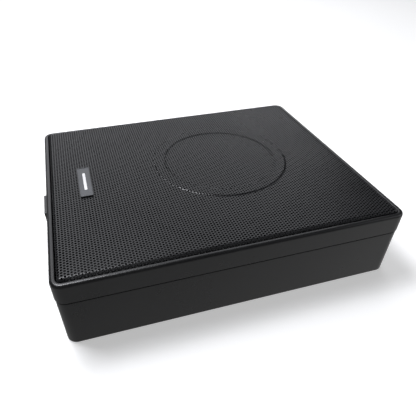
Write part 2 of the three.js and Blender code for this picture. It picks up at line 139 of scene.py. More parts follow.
class CaseSettings(bpy.types.PropertyGroup):
    corner_radius: length("Corner Radius", "Radius of the upright corners", 11 * MM)
    wall: length("Wall", "Thickness of the case wall", 3 * MM)
    rim_width: length("Rim Width", "Width of the rim round the grille", 5.3 * MM)
    bead_radius: length("Bead Radius", "Rounding of the rim's outer edge", 3.0 * MM)
    foot_radius: length("Foot Radius", "Rounding of the bottom edge", 1.0 * MM)
    paint: colour("Paint", "Satin paint of the case", (0.0060, 0.0062, 0.0068))


class GrilleSettings(bpy.types.PropertyGroup):
    pitch: length("Hole Pitch", "Distance between neighbouring holes", 3.24 * MM)
    hole: length("Hole Diameter", "Diameter of the round holes", 2.42 * MM)
    sheet: length("Sheet", "Thickness of the sheet steel", 1.0 * MM)
    bend: length("Bend Radius", "Outside radius of the folded edge", 3.6 * MM)
    emboss: length("Emboss Height", "Height of the ring pressed into the sheet", 0.9 * MM)
    emboss_outer: length("Emboss Outer", "Outer radius of the pressed ring", 79 * MM)
    emboss_inner: length("Emboss Inner", "Inner radius of the pressed ring", 64 * MM)
    paint: colour("Paint", "Powder coat of the grille", (0.013, 0.0133, 0.0146))


class TrimSettings(bpy.types.PropertyGroup):
    badge: colour("Badge", "Brushed badge plate", (0.066, 0.068, 0.073))
    moulding: colour("Moulding", "Black moulded plastic", (0.016, 0.016, 0.017))
    plating: colour("Plating", "Gold-coloured plating", (0.78, 0.55, 0.22))
    steel: colour("Steel", "Bare and plated steel", (0.50, 0.50, 0.51))


class WooferSettings(bpy.types.PropertyGroup):
    roll_height: length("Roll Height", "Height of the surround's half roll", 6.4 * MM)
    roll_width: length("Roll Width", "Half width of the surround's half roll", 8.6 * MM)
    cone: colour("Cone", "Pressed paper of the cone", (0.018, 0.018, 0.019))


class StageSettings(bpy.types.PropertyGroup):
    floor: colour("Floor", "Pale floor", (0.80, 0.80, 0.80))
    key_power: number("Key Power", "Power of the light behind", 16.5, unit="POWER")
    top_power: number("Top Power", "Power of the light overhead", 18, unit="POWER")
    fill_power: number("Fill Power", "Power of the light at the side", 3, unit="POWER")
    world: number("Surroundings", "Brightness above the horizon", 0.1)
    backdrop: number("Backdrop", "Brightness behind the floor", 0.7)
    mirrored: number("Mirrored Floor", "Brightness of the floor as glossy pieces mirror it", 0.5)
    floor_glow: number("Floor Glow", "Light that the floor gives off", 0.4)
    lens: number("Lens", "Focal length in millimetres", 34.39)
    azimuth: number("Azimuth", "Heading of the camera", math.radians(-16.71), subtype="ANGLE")
    elevation: number("Elevation", "Height angle of the camera", math.radians(39.82), subtype="ANGLE")


SETTINGS = {
    "sub_case": CaseSettings,
    "sub_grille": GrilleSettings,
    "sub_trim": TrimSettings,
    "sub_woofer": WooferSettings,
    "sub_stage": StageSettings,
}


# --- Mesh helpers ---

def grid_faces(rows, columns, wrap=True):
    """Quads of a grid whose vertices are numbered row by row; wrap joins the last column to the first."""
    row = np.arange(rows - 1)[:, None] * columns
    last = columns if wrap else columns - 1
    column = np.arange(last)[None, :]
    following = (column + 1) % columns
    a, b = row + column, row + following
    return np.stack([a, b, b + columns, a + columns], axis=-1).reshape(-1, 4)


def piece(name, vertices, faces, material, body=FIXED, slot=None, replaces=(), sharp=35, settle=True):
    """Object made from arrays, its doubles merged and its faces turned outwards, that rides on a body."""
    mesh = bpy.data.meshes.new(name)
    mesh.from_pydata(np.asarray(vertices, float).reshape(-1, 3).tolist(), [], [list(face) for face in faces])
    if settle:
        form = bmesh.new()
        form.from_mesh(mesh)
        bmesh.ops.remove_doubles(form, verts=form.verts, dist=2e-6)
        bmesh.ops.dissolve_degenerate(form, edges=form.edges, dist=1e-7)
        bmesh.ops.recalc_face_normals(form, faces=form.faces)
        form.to_mesh(mesh)
        form.free()
    mesh.polygons.foreach_set("use_smooth", np.ones(len(mesh.polygons), bool))
    mesh.set_sharp_from_angle(angle=math.radians(sharp))
    mesh.materials.append(material)
    made = bpy.data.objects.new(name, mesh)
    bpy.context.scene.collection.objects.link(made)
    if body:
        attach(made, body)
    if replaces:
        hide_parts(*replaces)
    return made


def soften(made, width, segments=2, angle=40):
    """Rounds the sharp edges of a piece with a bevel of that width."""
    bevel = made.modifiers.new("Rounded edges", "BEVEL")
    bevel.width = width
    bevel.segments = segments
    bevel.limit_method = "ANGLE"
    bevel.angle_limit = math.radians(angle)
    bevel.harden_normals = True


def even_shading(made):
    """Keeps large flat faces flat in shade beside small rounded edges."""
    weighted = made.modifiers.new("Even shading", "WEIGHTED_NORMAL")
    weighted.keep_sharp = True
    weighted.weight = 80


def joined(shapes):
    """Several (vertices, faces) shapes as one."""
    vertices, faces, start = [], [], 0
    for points, quads in shapes:
        points = np.asarray(points, float).reshape(-1, 3)
        vertices.append(points)
        faces += [[start + int(i) for i in face] for face in quads]
        start += len(points)
    return np.concatenate(vertices), faces


def arc(centre, radius, start, end, steps):
    """Points of a circular arc in the plane, from the start to the end angle in degrees."""
    angle = np.radians(np.linspace(start, end, steps + 1))
    return np.stack([centre[0] + radius * np.cos(angle), centre[1] + radius * np.sin(angle)], axis=-1)


def turned(profile, segments, centre=(0, 0)):
    """Profile of (radius, height) rows turned about the upright axis through centre.

    x and y are the radius times the cosine and sine of the angle, and z is the height.
    """
    profile = np.asarray(profile, float)
    angle = np.linspace(0, 2 * math.pi, segments, endpoint=False)
    radius = profile[:, 0, None]
    x = centre[0] + radius * np.cos(angle)
    y = centre[1] + radius * np.sin(angle)
    z = np.broadcast_to(profile[:, 1, None], x.shape)
    return np.stack([x, y, z], axis=-1), grid_faces(len(profile), segments)


def turned_on_panel(profile, segments, place, share=1.0):
    """Profile of (radius, height) rows turned about the axis through place, its height pointing to -X.

    share scales the distance from that axis, point by point.
    """
    points, faces = turned(profile, segments)
    across, up, out = points[..., 1] * share, points[..., 0] * share, points[..., 2]
    return np.stack([place[0] - out, place[1] + across, place[2] + up], axis=-1), faces


def case_outline(inset, radius, steps=12):
    """The case's rounded rectangle, moved in by inset: four quarter circles and straight sides.

    The points on the straight sides stay at the same places whatever the inset, so that
    neighbouring outlines join in quads, and a side can have an opening between two of them.
    """
    half = (CASE_HIGH[:2] - CASE_LOW[:2]) / 2 - inset
    centre = (CASE_HIGH[:2] + CASE_LOW[:2]) / 2
    turn = max(radius - inset, 0.8 * MM)
    reach = (CASE_HIGH[:2] - CASE_LOW[:2]) / 2 - radius - 1.5 * MM
    across = np.array([1, 0.5, 0, -0.5, -1]) * reach[0]
    window = WINDOW_HALF
    deep = np.array([reach[1], window, 0.5 * window, 0, -0.5 * window, -window, -reach[1]])
    sides = []
    for corner, (sx, sy) in enumerate([(1, 1), (-1, 1), (-1, -1), (1, -1)]):
        middle = np.array([sx, sy]) * (half - turn)
        sides.append(arc(middle, turn, 90 * corner, 90 * corner + 90, steps))
        if corner % 2 == 0:
            sides.append(np.stack([sx * across, np.full(across.shape, sy * half[1])], axis=-1))
        else:
            sides.append(np.stack([np.full(deep.shape, sx * half[0]), sy * deep], axis=-1))
    return centre + np.concatenate(sides)


def carried(profile, radius):
    """Profile of (inset, height) rows carried round the case's outline, one closed outline for each row."""
    loops = []
    for inset, height in profile:
        flat = case_outline(inset, radius)
        loops.append(np.column_stack([flat, np.full(len(flat), height)]))
    return np.array(loops)


def circle(centre, radius, steps=24):
    """Closed circle: an arc of a full turn without its last point."""
    return arc(centre, radius, 0, 360, steps)[:-1]


def capped(loops, holes):
    """Outlines joined by quads, the first and the last closed by flat faces, with holes through both."""
    levels, count = loops.shape[:2]
    vertices = [loops.reshape(-1, 3)]
    faces = [list(face) for face in grid_faces(levels, count)]
    start = levels * count
    rims = {}
    for end, height in ((0, loops[0, 0, 2]), (levels - 1, loops[-1, 0, 2])):
        numbers = list(range(end * count, (end + 1) * count))
        outlines = [loops[end]]
        rims[end] = []
        for hole in holes:
            ring = np.column_stack([hole, np.full(len(hole), height)])
            rims[end].append(start)
            numbers += list(range(start, start + len(ring)))
            start += len(ring)
            vertices.append(ring)
            outlines.append(ring)
        triangles = tessellate_polygon([[Vector(point) for point in line] for line in outlines])
        faces += [[numbers[i] for i in triangle] for triangle in triangles]
    for first, last, hole in zip(rims[0], rims[levels - 1], holes):
        step = np.arange(len(hole))
        following = (step + 1) % len(hole)
        wall = np.stack([first + step, first + following, last + following, last + step], axis=-1)
        faces += [list(face) for face in wall]
    return np.concatenate(vertices), faces


def slab(outer, holes, low, high, axis=0):
    """Flat plate, thin along the axis from low to high: an outline and holes in the other two coordinates."""
    first, second = [i for i in range(3) if i != axis]

    def placed(outline, depth):
        points = np.empty((len(outline), 3))
        points[:, first], points[:, second], points[:, axis] = outline[:, 0], outline[:, 1], depth
        return points

    lines = [np.asarray(outline, float) for outline in (outer, *holes)]
    size = sum(len(line) for line in lines)
    vertices = np.concatenate([placed(line, depth) for depth in (low, high) for line in lines])
    flat = [[Vector(point) for point in placed(line, low)] for line in lines]
    triangles = np.array(tessellate_polygon(flat))
    faces = triangles.tolist() + (triangles + size).tolist()
    offset = 0
    for line in lines:
        step = offset + np.arange(len(line))
        following = offset + (np.arange(len(line)) + 1) % len(line)
        faces += np.stack([step, following, following + size, step + size], axis=-1).tolist()
        offset += len(line)
    return vertices, faces


def rectangle(low, high, radius=0.0, steps=4):
    """Outline of a rectangle between two corners, its corners rounded when a radius is given."""
    low, high = np.asarray(low, float), np.asarray(high, float)
    if radius <= 0:
        return np.array([low, [high[0], low[1]], high, [low[0], high[1]]])
    turns = [(high[0] - radius, high[1] - radius), (low[0] + radius, high[1] - radius),
             (low[0] + radius, low[1] + radius), (high[0] - radius, low[1] + radius)]
    return np.concatenate([arc(turn, radius, 90 * i, 90 * i + 90, steps) for i, turn in enumerate(turns)])


# --- Shader helpers ---

FINE_GRAIN, COARSE_GRAIN, CLOUDS = 2600, 700, 14     # scales of the noises, features per metre
SPECKS, FILM, STREAKS = 950, 22, 60
DUST_COLOUR = (0.16, 0.155, 0.15, 1)


def add_node(tree, kind, inputs, **options):
    """New shader node with its options set, each input a plain value or another node's output."""
    made = tree.nodes.new(f"ShaderNode{kind}")
    for option, value in options.items():
        setattr(made, option, value)
    for label, value in inputs.items():
        if isinstance(value, bpy.types.NodeSocket):
            tree.links.new(value, made.inputs[label])
        else:
            made.inputs[label].default_value = value
    return made


def math_node(tree, operation, *values, clamp=False):
    return add_node(tree, "Math", dict(enumerate(values)), operation=operation, use_clamp=clamp).outputs[0]


def noise(tree, vector, scale, detail, roughness):
    sockets = {"Scale": scale, "Detail": detail, "Roughness": roughness, "Vector": vector}
    return add_node(tree, "TexNoise", sockets).outputs["Fac"]


def ramp(tree, value, low, high):
    """Maps a value from the span low to high onto 0 to 1, with soft ends."""
    sockets = {"From Min": low, "From Max": high, "Value": value}
    return add_node(tree, "MapRange", sockets, interpolation_type="SMOOTHSTEP").outputs["Result"]


def blended(tree, factor, first, second):
    """Mix of two colours by a factor."""
    sockets = {"Factor": factor, "A": first, "B": second}
    return add_node(tree, "Mix", sockets, data_type="RGBA").outputs["Result"]


def new_group(name, inputs, outputs):
    """Empty shader node group with named sockets; gives the group and its two end nodes."""
    group = bpy.data.node_groups.new(name, "ShaderNodeTree")
    for label, kind in inputs.items():
        group.interface.new_socket(name=label, in_out="INPUT", socket_type=f"NodeSocket{kind}")
    for label in outputs:
        group.interface.new_socket(name=label, in_out="OUTPUT", socket_type="NodeSocketFloat")
    return group, group.nodes.new("NodeGroupInput").outputs, group.nodes.new("NodeGroupOutput").inputs


def grain_group():
    """Fine powder-coat or mould grain: a height for bump, and a slow mask that varies gloss."""
    name = "Surface grain"
    if name in bpy.data.node_groups:
        return bpy.data.node_groups[name]
    group, start, end = new_group(name, {"Vector": "Vector", "Size": "Float"}, ["Height", "Variation"])
    size = add_node(group, "CombineXYZ", dict.fromkeys(range(3), start["Size"])).outputs[0]
    scaled = add_node(group, "VectorMath", {0: start["Vector"], 1: size}, operation="DIVIDE").outputs[0]
    fine = math_node(group, "MULTIPLY", noise(group, scaled, FINE_GRAIN, 2, 0.5), 0.65)
    coarse = math_node(group, "MULTIPLY", noise(group, scaled, COARSE_GRAIN, 3, 0.6), 0.35)
    group.links.new(math_node(group, "ADD", fine, coarse), end["Height"])
    cloudy = noise(group, start["Vector"], CLOUDS, 4, 0.6)
    group.links.new(ramp(group, cloudy, 0.3, 0.7), end["Variation"])
    return group


def dust_group():
    """Settled dust and faint wiping marks: thin specks on faces that look up, and long soft streaks."""
    name = "Dust and wiping"
    if name in bpy.data.node_groups:
        return bpy.data.node_groups[name]
    sockets = {"Vector": "Vector", "Normal": "Vector", "Amount": "Float"}
    group, start, end = new_group(name, sockets, ["Dust", "Streaks"])
    place, amount = start["Vector"], start["Amount"]
    height = add_node(group, "SeparateXYZ", {0: start["Normal"]}).outputs["Z"]
    upwards = ramp(group, height, 0.2, 0.9)
    specks = math_node(group, "MULTIPLY", ramp(group, noise(group, place, SPECKS, 2, 0.6), 0.66, 0.78), 0.8)
    film = math_node(group, "MULTIPLY", ramp(group, noise(group, place, FILM, 5, 0.65), 0.45, 0.8), 0.25)
    lying = math_node(group, "MULTIPLY", math_node(group, "ADD", specks, film), upwards)
    group.links.new(math_node(group, "MULTIPLY", lying, amount), end["Dust"])
    wiped = {"Vector": place, "Scale": (1, 1, 9), "Rotation": (0.0, 0.25, 0.1)}
    stretched = add_node(group, "Mapping", wiped).outputs[0]
    lines = ramp(group, noise(group, stretched, STREAKS, 3, 0.7), 0.5, 0.85)
    group.links.new(math_node(group, "MULTIPLY", lines, amount), end["Streaks"])
    return group


def material(name, base, roughness, metallic=0.0, grain=1.0, bump=0.15, depth=0.00003, dust=0.3,
             second=None, coat=0.0, specular=0.5):
    """Surface with grain in its bump and gloss, slow colour changes, and a little dust on top."""
    if name in bpy.data.materials:
        return bpy.data.materials[name]
    made = bpy.data.materials.new(name)
    made.use_nodes = True
    tree = made.node_tree
    shader = tree.nodes["Principled BSDF"].inputs
    plain = {"Metallic": metallic, "Specular IOR Level": specular, "Coat Weight": coat,
             "Coat Roughness": 0.12}
    for label, value in plain.items():
        shader[label].default_value = value
    places = add_node(tree, "TexCoord", {}).outputs
    sockets = {"Size": grain, "Vector": places["Object"]}
    grained = add_node(tree, "Group", sockets, node_tree=grain_group()).outputs
    sockets = {"Amount": dust, "Vector": places["Object"], "Normal": places["Normal"]}
    dusty = add_node(tree, "Group", sockets, node_tree=dust_group()).outputs
    other = second or [min(1, 1.35 * value) for value in base]
    tones = blended(tree, grained["Variation"], (*base, 1), (*other, 1))
    tree.links.new(blended(tree, dusty["Dust"], tones, DUST_COLOUR), shader["Base Color"])
    varied = math_node(tree, "MULTIPLY_ADD", grained["Variation"], 0.08, roughness - 0.04)
    rubbed = math_node(tree, "MULTIPLY_ADD", dusty["Streaks"], -0.07, varied)
    settled = math_node(tree, "MULTIPLY_ADD", dusty["Dust"], 0.3, rubbed, clamp=True)
    tree.links.new(settled, shader["Roughness"])
    lifted = add_node(tree, "Bump", {"Strength": bump, "Distance": depth, "Height": grained["Height"]})
    tree.links.new(lifted.outputs["Normal"], shader["Normal"])
    return made


def settings(context, name):
    return getattr(context.scene, name)


def case_paint(context):
    paint = settings(context, "sub_case").paint
    return material("Satin case paint", paint, 0.30, grain=1.1, bump=0.05, dust=0.08, specular=0.45)


def moulded(context):
    moulding = settings(context, "sub_trim").moulding
    return material("Black moulding", moulding, 0.45, grain=0.8, bump=0.14, dust=0.15)


def bare_steel(context):
    steel = settings(context, "sub_trim").steel
    return material("Plated steel", steel, 0.34, metallic=1.0, grain=0.6, bump=0.08, dust=0.1)


def rubber():
    return material("Black rubber", (0.014, 0.014, 0.014), 0.7, grain=1.4, bump=0.2, dust=0.3)


# --- Case ---

def with_opening(faces, count, outer, inner, columns):
    """Takes a rectangle of quads out of an outer and an inner wall and joins the two walls round its edge."""
    gone = {level * count + column for level in (outer, inner) for column in columns[:-1]}
    kept = [face for number, face in enumerate(faces) if number not in gone]
    for column in columns[:-1]:
        for near, far in ((outer, inner + 1), (outer + 1, inner)):
            first, last = near * count + column, far * count + column
            kept.append([first, first + 1, last + 1, last])
    for column in (columns[0], columns[-1]):
        kept.append([level * count + column for level in (outer, outer + 1, inner, inner + 1)])
    return kept


class SUBWOOFER_OT_lower_case(bpy.types.Operator):
    """Deep tub with a rounded foot, an opening for the control panel, and four screw bosses"""

    bl_idname = "subwoofer.lower_case"
    bl_label = "Lower Case"

    def execute(self, context):
        case, paint = settings(context, "sub_case"), case_paint(context)
        reveal = TUB_LOW[0] - CASE_LOW[0]
        inside = reveal + case.wall
        top, foot, edge = TUB_HIGH[2], case.foot_radius, 0.4 * MM
        outside = arc((reveal + foot, foot), foot, 270, 180, 6).tolist()
        outside += [(reveal, WINDOW_HEIGHTS[0]), (reveal, WINDOW_HEIGHTS[1])]
        lip = arc((reveal + edge, top - edge), edge, 180, 90, 2).tolist()
        lip += arc((inside - edge, top - edge), edge, 90, 0, 2).tolist()
        down = [(inside, WINDOW_HEIGHTS[1]), (inside, WINDOW_HEIGHTS[0]), (inside, case.wall)]
        loops = carried(outside + lip + down, case.corner_radius)
        places = [middle_of(node)[:2] for node in screw_nodes("case")]
        vertices, faces = capped(loops, [circle(place, SCREW_RECESS) for place in places])
        flat = loops[len(outside) - 1]
        on_side = flat[:, 0] < flat[:, 0].min() + 1e-6
        columns = np.flatnonzero(on_side & (np.abs(flat[:, 1]) <= WINDOW_HALF + 1e-6))
        faces = with_opening(faces, loops.shape[1], len(outside) - 2, len(outside) + len(lip), columns)
        even_shading(piece("lower_case_tub", vertices, faces, paint, slot="case", replaces=["lower_case"]))
        low, high = BOSS_HEIGHTS
        boss = [(BOSS_BORE, low), (BOSS_RADIUS, low), (BOSS_RADIUS, high), (BOSS_BORE, high)]
        boss.append(boss[0])
        bosses = joined([turned(boss, 32, place) for place in places])
        piece("case_bosses", *bosses, paint, slot="case", replaces=["lower_case"])
        return {"FINISHED"}


class SUBWOOFER_OT_upper_frame(bpy.types.Operator):
    """Frame with a rounded rim, a skirt over the joint and a deck for the woofer; and the case seal"""

    bl_idname = "subwoofer.upper_frame"
    bl_label = "Upper Frame"

    def execute(self, context):
        case = settings(context, "sub_case")
        top, bead, rim, edge = CASE_HIGH[2], case.bead_radius, case.rim_width, 0.35 * MM
        inner_round = 1.4 * MM
        tucked = TUB_LOW[0] - CASE_LOW[0] + case.wall + 0.5 * MM
        profile = [(tucked, CASE_LOW[2]), (tucked, SKIRT_BOTTOM)]
        profile += arc((edge, SKIRT_BOTTOM + edge), edge, 270, 180, 2).tolist()
        profile += arc((bead, top - bead), bead, 180, 90, 8).tolist()
        profile += arc((rim - inner_round, top - inner_round), inner_round, 90, 0, 6).tolist()
        profile += [(rim, DECK_TOP)]
        holes = [circle(DRIVER_AXIS[:2], WOOFER_OPENING, 96)]
        holes += [circle(middle_of(node)[:2], PILOT_RADIUS, 16) for node in screw_nodes("driver")]
        shape = capped(carried(profile, case.corner_radius), holes)
        paint = case_paint(context)
        even_shading(piece("upper_frame_rim", *shape, paint, slot="case", replaces=["upper_frame"]))
        low, high = TUB_HIGH[2] + CLEARANCE, SKIRT_BOTTOM - CLEARANCE
        face, waist, back = 1.2 * MM, 1.0 * MM, 3 * MM
        ring = [(face, low), (waist, (low + high) / 2), (face, high), (back, high), (back, low), (face, low)]
        loops = carried(ring, case.corner_radius)
        strip = grid_faces(*loops.shape[:2])
        piece("case_seal_strip", loops, strip, rubber(), slot="seal", replaces=["case_seal"])
        return {"FINISHED"}


# --- Grille ---

def hole_cell(pitch_x, pitch_y, radius):
    """One rectangle of sheet with an eight-sided hole: its points and its triangles, anticlockwise."""
    side_x, side_y = pitch_x / 2, pitch_y / 2
    turn = np.radians(45 * np.arange(8))
    hole = radius * np.stack([np.cos(turn), np.sin(turn)], axis=-1)
    edge = np.array([(side_x, 0), (side_x, side_y), (-side_x, side_y), (-side_x, 0), (-side_x, -side_y),
                     (side_x, -side_y)])
    quads = [(0, 8, 9, 1), (3, 10, 11, 4), (4, 11, 12, 5), (7, 13, 8, 0)]
    triangles = [(1, 9, 2), (9, 10, 2), (2, 10, 3), (5, 12, 6), (12, 13, 6), (6, 13, 7)]
    triangles += [part for a, b, c, d in quads for part in ((a, b, c), (a, c, d))]
    return np.concatenate([hole, edge]), np.array(triangles)


def plain_cells(low, high):
    """Rectangles of sheet without a hole, given by arrays of lowest and highest corners."""
    right, left = np.stack([high[:, 0], low[:, 1]], -1), np.stack([low[:, 0], high[:, 1]], -1)
    corners = np.stack([low, right, high, left], 1)
    faces = np.arange(len(low))[:, None, None] * 4 + np.array([(0, 1, 2), (0, 2, 3)])
    return corners.reshape(-1, 2), faces.reshape(-1, 3)


def thickened(points, triangles, thickness):
    """Sheet made solid: the same faces again one thickness below, and a wall along every open edge.

    Points closer than MERGE are made one first, and triangles that lose an edge by it are left out.
    """
    keys = np.round(points / MERGE).astype(np.int64)
    _, first, number = np.unique(keys, axis=0, return_index=True, return_inverse=True)
    points, triangles = points[first], number.reshape(-1)[triangles]
    triangles = triangles[(triangles != np.roll(triangles, 1, axis=1)).all(axis=1)]
    corner = points[triangles]
    normal = np.cross(corner[:, 1] - corner[:, 0], corner[:, 2] - corner[:, 0])
    across = np.zeros_like(points)
    for i in range(3):
        np.add.at(across, triangles[:, i], normal)
    across /= np.linalg.norm(across, axis=1, keepdims=True)
    count = len(points)
    edges = np.concatenate([triangles[:, [0, 1]], triangles[:, [1, 2]], triangles[:, [2, 0]]])
    forward, backward = edges[:, 0] * count + edges[:, 1], edges[:, 1] * count + edges[:, 0]
    rim = edges[~np.isin(forward, backward)]
    walls = np.stack([rim[:, 0], rim[:, 0] + count, rim[:, 1] + count, rim[:, 1]], axis=-1)
    vertices = np.concatenate([points, points - thickness * across])
    faces = triangles.tolist() + (triangles[:, ::-1] + count).tolist() + walls.tolist()
    return vertices, faces


class GrillePlan:
    """Flat pattern of the grille: rows of holes in columns, every second column half a pitch along."""

    def __init__(self, grille):
        self.grille = grille
        self.centre = (GRILLE_LOW[:2] + GRILLE_HIGH[:2]) / 2
        self.top = GRILLE_HIGH[2] - grille.emboss
        self.flat = (GRILLE_HIGH[:2] - GRILLE_LOW[:2]) / 2 - grille.bend
        drop = self.top - GRILLE_LOW[2]
        self.reach = grille.bend * math.pi / 2 + drop - grille.bend
        wanted = np.array([grille.pitch * math.cos(math.radians(30)), grille.pitch])
        self.count = np.round(2 * self.flat / wanted).astype(int)
        self.pitch = 2 * self.flat / self.count
        plain_edge = 1.5 * MM
        self.extra = ((self.reach - plain_edge) / self.pitch).astype(int)

    def folded(self, flat):
        """Place in space of points of the flat pattern.

        The middle stays level, then each side turns down round the bend and goes on straight down.
        """
        bend = self.grille.bend
        beyond = np.maximum(np.abs(flat) - self.flat, 0)
        angle = np.minimum(beyond / bend, math.pi / 2)
        out = np.minimum(np.abs(flat), self.flat) + bend * np.sin(angle)
        drop = bend * (1 - np.cos(angle)) + np.maximum(beyond - bend * math.pi / 2, 0)
        place = self.centre + np.sign(flat) * out
        height = self.top - drop.sum(axis=1) + self.pressed(place)
        return np.column_stack([place, height])

    def pressed(self, place):
        """Height of the pressed ring: level between its two radii, with a smooth slope on each side."""
        slope = 2.0 * MM
        radius = np.linalg.norm(place - DRIVER_AXIS[:2], axis=1)
        rise = np.clip((radius - self.grille.emboss_inner) / slope, 0, 1)
        fall = np.clip((self.grille.emboss_outer - radius) / slope, 0, 1)
        smooth = rise * rise * (3 - 2 * rise) * fall * fall * (3 - 2 * fall)
        return self.grille.emboss * smooth

    def columns(self, first, last):
        """Sheet between two columns: cells with holes, half cells where columns shift, and plain edges."""
        pitch_x, pitch_y = self.pitch
        cell, cell_faces = hole_cell(pitch_x, pitch_y, self.grille.hole / 2)
        centres, low, high = [], [], []
        for column in range(first, last):
            x = (column + 0.5) * pitch_x - self.flat[0]
            middle = 0 <= column < self.count[0]
            extra = self.extra[1] if middle else 0
            shifted = column % 2
            row = np.arange(-extra + shifted, self.count[1] + extra)
            y = (row + 0.5 * (1 - shifted)) * pitch_y - self.flat[1]
            centres.append(np.column_stack([np.full(len(y), x), y]))
            end = self.flat[1] + extra * pitch_y
            left, right = x - pitch_x / 2, x + pitch_x / 2
            if shifted:
                low += [(left, -end), (left, end - pitch_y / 2)]
                high += [(right, -end + pitch_y / 2), (right, end)]
            if middle:
                reach = self.flat[1] + self.reach
                low += [(left, -reach), (left, end)]
                high += [(right, -end), (right, reach)]
        centres = np.concatenate(centres)
        reach = self.flat[0] + self.reach
        end = self.flat[0] + self.extra[0] * pitch_x
        steps = np.linspace(-self.flat[1], self.flat[1], 2 * self.count[1] + 1)
        if first == -self.extra[0]:
            low += [(-reach, y) for y in steps[:-1]]
            high += [(-end, y) for y in steps[1:]]
        if last == self.count[0] + self.extra[0]:
            low += [(end, y) for y in steps[:-1]]
            high += [(reach, y) for y in steps[1:]]
        points = (centres[:, None, :] + cell).reshape(-1, 2)
        faces = (np.arange(len(centres))[:, None, None] * len(cell) + cell_faces).reshape(-1, 3)
        plain, plain_faces = plain_cells(np.array(low), np.array(high))
        flat = np.concatenate([points, plain])
        return self.folded(flat), np.concatenate([faces, plain_faces + len(points)])

    def corner(self, sx, sy):
        """Corner of the fold: the fold's own profile turned a quarter about the level part's corner."""
        bend = self.grille.bend
        angle = np.linspace(0, math.pi / 2, 7)
        out = np.append(bend * np.sin(angle), bend)
        height = np.append(self.top - bend * (1 - np.cos(angle)), GRILLE_LOW[2])
        turn = np.linspace(0, math.pi / 2, 9)
        x = self.centre[0] + sx * (self.flat[0] + out[:, None] * np.cos(turn))
        y = self.centre[1] + sy * (self.flat[1] + out[:, None] * np.sin(turn))
        z = np.broadcast_to(height[:, None], x.shape)
        quads = grid_faces(len(out), len(turn), wrap=False)
        if sx * sy < 0:
            quads = quads[:, ::-1]
        triangles = np.concatenate([quads[:, [0, 1, 2]], quads[:, [0, 2, 3]]])
        return np.stack([x, y, z], axis=-1).reshape(-1, 3), triangles[:, ::-1]


class SUBWOOFER_OT_grille(bpy.types.Operator):
    """Perforated steel sheet with a pressed ring, folded down on four sides"""

    bl_idname = "subwoofer.grille"
    bl_label = "Grille"

    def execute(self, context):
        grille = settings(context, "sub_grille")
        plan = GrillePlan(grille)
        paint = grille.paint
        coat = material("Grille powder coat", paint, 0.30, grain=0.9, bump=0.10, dust=0.08, specular=0.33)
        first, last = -plan.extra[0], plan.count[0] + plan.extra[0]
        cuts = np.linspace(first, last, 5).astype(int)
        for name, start, end in zip(("left", "left_middle", "right_middle", "right"), cuts[:-1], cuts[1:]):
            vertices, faces = thickened(*plan.columns(start, end), grille.sheet)
            piece(f"grille_{name}", vertices, faces, coat, slot="grille", replaces=["grille"], settle=False)
        corners = [thickened(*plan.corner(sx, sy), grille.sheet) for sx in (-1, 1) for sy in (-1, 1)]
        piece("grille_corners", *joined(corners), coat, slot="grille", replaces=["grille"])
        return {"FINISHED"}


class SUBWOOFER_OT_badge(bpy.types.Operator):
    """Blank badge: a rounded plate with a raised border and one plain bar"""

    bl_idname = "subwoofer.badge"
    bl_label = "Badge"

    def execute(self, context):
        trim = settings(context, "sub_trim")
        low, high = BADGE_LOW, BADGE_HIGH
        plate = material("Badge plate", trim.badge, 0.38, metallic=0.6, grain=0.5, bump=0.06, dust=0.15)
        bright = material("Badge bar", (0.62, 0.62, 0.63), 0.3, metallic=0.2, grain=0.5, bump=0.04, dust=0.1)
        outer = rectangle(low[:2], high[:2], 1.6 * MM, 6)
        inner = rectangle(low[:2] + 0.7 * MM, high[:2] - 0.7 * MM, 1.0 * MM, 6)
        top, sunk = high[2] - 0.35 * MM, 0.1 * MM
        base = piece("badge_plate", *slab(outer, [], low[2], top, 2), plate, slot="badge", replaces=["badge"])
        soften(base, 0.2 * MM)
        border = slab(outer, [inner], top - sunk, high[2] - 0.05 * MM, 2)
        soften(piece("badge_border", *border, plate, slot="badge"), 0.12 * MM)
        middle, half = middle_of("badge")[:2], np.array([1.5, 17]) * MM
        bar = slab(rectangle(middle - half, middle + half, 1.2 * MM, 6), [], top - sunk, top + 0.15 * MM, 2)
        soften(piece("badge_bar", *bar, bright, slot="badge"), 0.1 * MM)
        return {"FINISHED"}


# --- Woofer ---

def on_axis(profile):
    """Profile of (radius, height) rows turned about the woofer's axis."""
    return turned(profile, 128, DRIVER_AXIS[:2])


def radial_share(made, inner, outer):
    """Bakes a ring's placing into its mesh and works out a share for each point, 1 at the inner radius
    falling smoothly to 0 at the outer one; the share is not kept.
    """
    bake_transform(made)
    count = len(made.data.vertices)
    place = np.empty(count * 3)
    made.data.vertices.foreach_get("co", place)
    radius = np.linalg.norm(place.reshape(-1, 3)[:, :2] - DRIVER_AXIS[:2], axis=1)
    share = np.clip((outer - radius) / (outer - inner), 0, 1)
    share = share * share * (3 - 2 * share)


